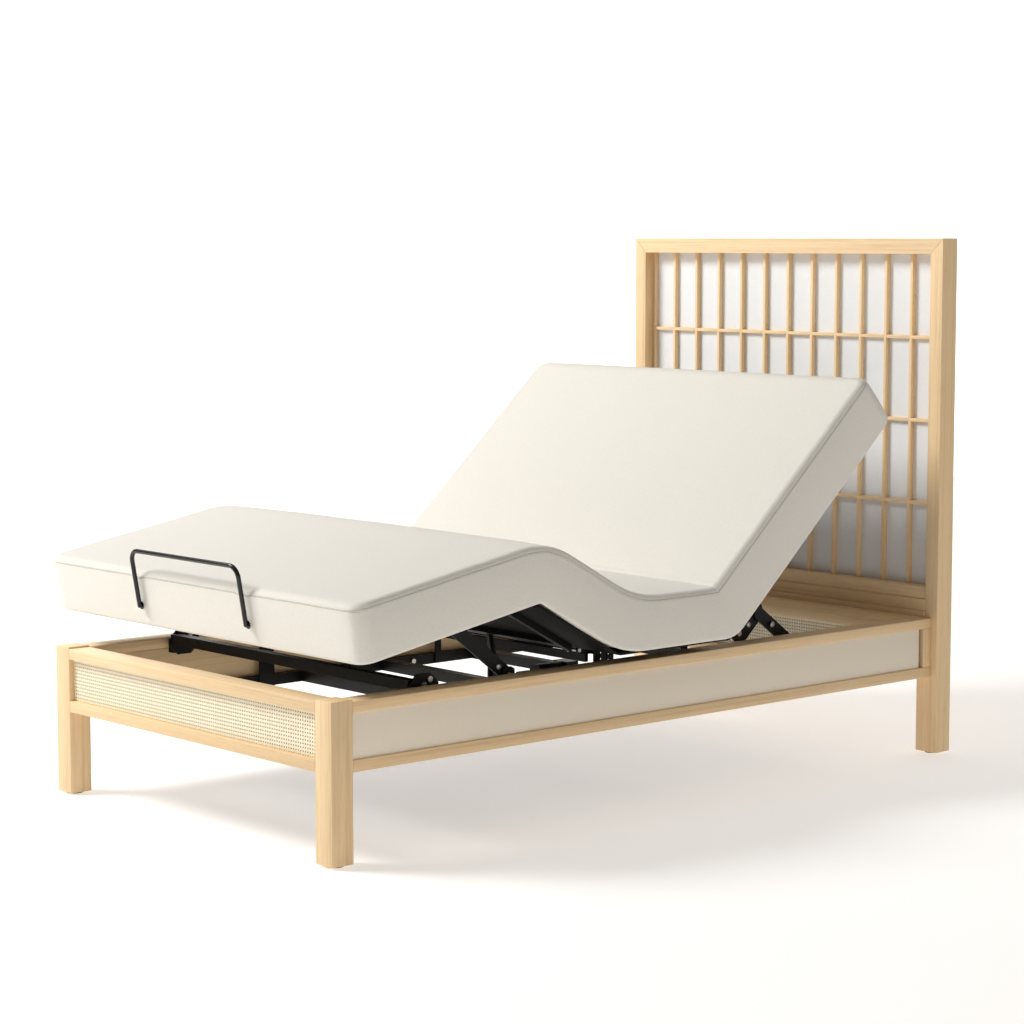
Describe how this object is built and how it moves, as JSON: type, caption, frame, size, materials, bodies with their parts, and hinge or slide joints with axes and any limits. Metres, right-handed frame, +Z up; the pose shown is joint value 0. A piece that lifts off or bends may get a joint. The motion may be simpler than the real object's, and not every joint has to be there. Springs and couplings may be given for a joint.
{
  "type": "adjustable bed base",
  "caption": "Adjustable bed base: timber frame with cane and linen panels, shoji headboard, steel lift mechanism and a padded platform whose back, thigh and calf sections hinge.",
  "frame": {"origin": "centre of the outline at floor level", "axes": "+Y to the head end, +X to the right seen from the foot end, +Z up"},
  "size_m": [1.24, 2.0834, 1.376],
  "materials": {
    "oak": "clear matt oil, straight grain",
    "cane": "woven cane webbing, natural",
    "linen": "plain linen, tight weave",
    "paper": "matt white shoji paper",
    "pad_fabric": "cream knitted upholstery",
    "black_steel": "black powder coat, satin",
    "zinc": "zinc plated",
    "deck": "black faced board",
    "glide": "matt",
    "plastic": "fine texture"
  },
  "bodies": {
    "base": {"leg_foot_left": "oak", "leg_foot_right": "oak", "leg_glides": "glide", "foot_rail_top": "oak", "foot_rail_bottom": "oak", "foot_cane_panel": "cane", "side_rail_top_left": "oak", "side_rail_top_right": "oak", "side_rail_bottom_left": "oak", "side_rail_bottom_right": "oak", "side_panel_left": "linen", "side_panel_right": "linen", "side_board_left": "oak", "side_board_right": "oak", "side_stile_left": "oak", "side_stile_right": "oak", "head_ledge": "oak", "head_rail_bottom": "oak", "head_cane_panel": "cane", "headboard_stile_left": "oak", "headboard_stile_right": "oak", "headboard_top_rail": "oak", "headboard_bottom_rail": "oak", "headboard_foot_boards": "oak", "shoji_panel": "paper", "headboard_back": "oak", "lattice_verticals": "oak", "lattice_horizontals": "oak", "chassis_left": "black_steel", "chassis_right": "black_steel", "chassis_cross_tubes": "black_steel", "foot_cross_tube": "black_steel", "foot_bracket_left": "black_steel", "foot_bracket_right": "black_steel", "frame_bolts": "zinc", "seat_frame": "black_steel", "seat_deck": "deck", "hinge_pins": "zinc", "pad_seat": "pad_fabric", "foot_drive": "black_steel", "head_drive": "black_steel", "control_box": "plastic"},
    "back": {"back_frame": "black_steel", "back_deck": "deck", "stay_plates": "black_steel", "pad_back": "pad_fabric"},
    "thigh": {"thigh_frame": "black_steel", "thigh_deck": "deck", "knee_pins": "zinc", "pad_thigh": "pad_fabric"},
    "calf": {"calf_frame": "black_steel", "calf_deck": "deck", "retainer_bar": "black_steel", "pad_calf": "pad_fabric"},
    "head_carriage": {"head_carriage": "black_steel"},
    "foot_carriage": {"foot_carriage": "black_steel"},
    "strut_left": {"strut_left": "black_steel"},
    "strut_right": {"strut_right": "black_steel"},
    "stay_left": {"stay_left": "black_steel"},
    "stay_right": {"stay_right": "black_steel"}
  },
  "joints": [
    {"name": "back_lift", "type": "hinge", "parent": "base", "child": "back", "pos_m": [0, 0.17869, 0.392], "axis": [1, 0, 0], "range_deg": [-42.3, 10]},
    {"name": "thigh_lift", "type": "hinge", "parent": "base", "child": "thigh", "pos_m": [0, -0.2113, 0.392], "axis": [-1, 0, 0], "range_deg": [-28.8, 5.2]},
    {"name": "calf_fold", "type": "hinge", "parent": "thigh", "child": "calf", "pos_m": [0, -0.47244, 0.53556], "axis": [-1, 0, 0], "range_deg": [-7.32, 39.2]},
    {"name": "strut_swing_left", "type": "hinge", "parent": "base", "child": "strut_left", "pos_m": [-0.4715, -0.44921, 0.3609], "axis": [-1, 0, 0], "range_deg": [-35.12, 6.59]},
    {"name": "strut_swing_right", "type": "hinge", "parent": "base", "child": "strut_right", "pos_m": [0.4715, -0.44921, 0.3609], "axis": [-1, 0, 0], "range_deg": [-35.12, 6.59]},
    {"name": "stay_swing_left", "type": "hinge", "parent": "back", "child": "stay_left", "pos_m": [-0.4715, 0.40672, 0.42372], "axis": [1, 0, 0], "range_deg": [-20.3, 84.9]},
    {"name": "stay_swing_right", "type": "hinge", "parent": "back", "child": "stay_right", "pos_m": [0.4715, 0.40672, 0.42372], "axis": [1, 0, 0], "range_deg": [-20.3, 84.9]},
    {"name": "head_carriage_slide", "type": "slide", "parent": "base", "child": "head_carriage", "axis": [0, 1, 0], "range_m": [-0.07747, 0.01984]},
    {"name": "foot_carriage_slide", "type": "slide", "parent": "base", "child": "foot_carriage", "axis": [0, -1, 0], "range_m": [-0.05386, 0.01136]}
  ],
  "couplings": [
    {"joint": "calf_fold", "follows": "thigh_lift", "ratio": -1.3507},
    {"joint": "strut_swing_left", "follows": "thigh_lift", "ratio": 1.2089},
    {"joint": "strut_swing_right", "follows": "thigh_lift", "ratio": 1.2089},
    {"joint": "stay_swing_left", "follows": "back_lift", "ratio": -2},
    {"joint": "stay_swing_right", "follows": "back_lift", "ratio": -2},
    {"joint": "head_carriage_slide", "follows": "back_lift", "m_per_rad": 0.10222},
    {"joint": "foot_carriage_slide", "follows": "thigh_lift", "m_per_rad": 0.10318}
  ]
}
